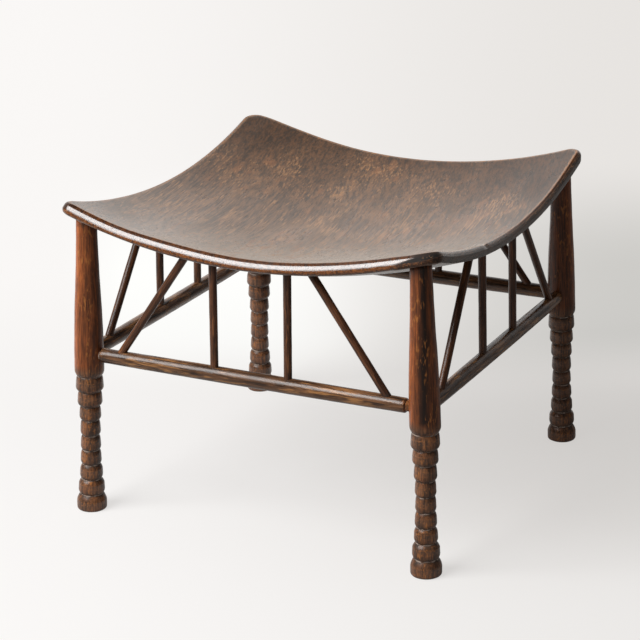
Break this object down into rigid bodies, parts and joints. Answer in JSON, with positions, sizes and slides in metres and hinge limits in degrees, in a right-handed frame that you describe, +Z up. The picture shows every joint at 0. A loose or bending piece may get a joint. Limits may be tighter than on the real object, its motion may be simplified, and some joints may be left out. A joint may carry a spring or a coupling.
{
  "type": "low stool",
  "caption": "Low square wooden stool with a seat dished both ways, ring-turned splayed legs, round rails and a lattice of spindles and braces below the seat.",
  "frame": {"origin": "on the floor under the middle of the seat", "axes": "+Z up, +X along the front edge to the right, +Y towards the back"},
  "size_m": [0.4326, 0.4326, 0.3491],
  "materials": {
    "seat_oak": "worn dark stain, satin",
    "leg_oak": "worn reddish dark stain, satin",
    "rail_oak": "worn dark stain, satin",
    "spindle_oak": "dark stain, satin"
  },
  "bodies": {
    "root": {"seat": "seat_oak", "leg_front_left": "leg_oak", "leg_front_right": "leg_oak", "leg_back_right": "leg_oak", "leg_back_left": "leg_oak", "rail_front": "rail_oak", "rail_right": "rail_oak", "rail_back": "rail_oak", "rail_left": "rail_oak", "spindle_front_left": "spindle_oak", "spindle_front_right": "spindle_oak", "spindle_right_front": "spindle_oak", "spindle_right_back": "spindle_oak", "spindle_back_right": "spindle_oak", "spindle_back_left": "spindle_oak", "spindle_left_back": "spindle_oak", "spindle_left_front": "spindle_oak", "brace_front_left": "spindle_oak", "brace_front_right": "spindle_oak", "brace_right_front": "spindle_oak", "brace_right_back": "spindle_oak", "brace_back_right": "spindle_oak", "brace_back_left": "spindle_oak", "brace_left_back": "spindle_oak", "brace_left_front": "spindle_oak"}
  },
  "joints": []
}
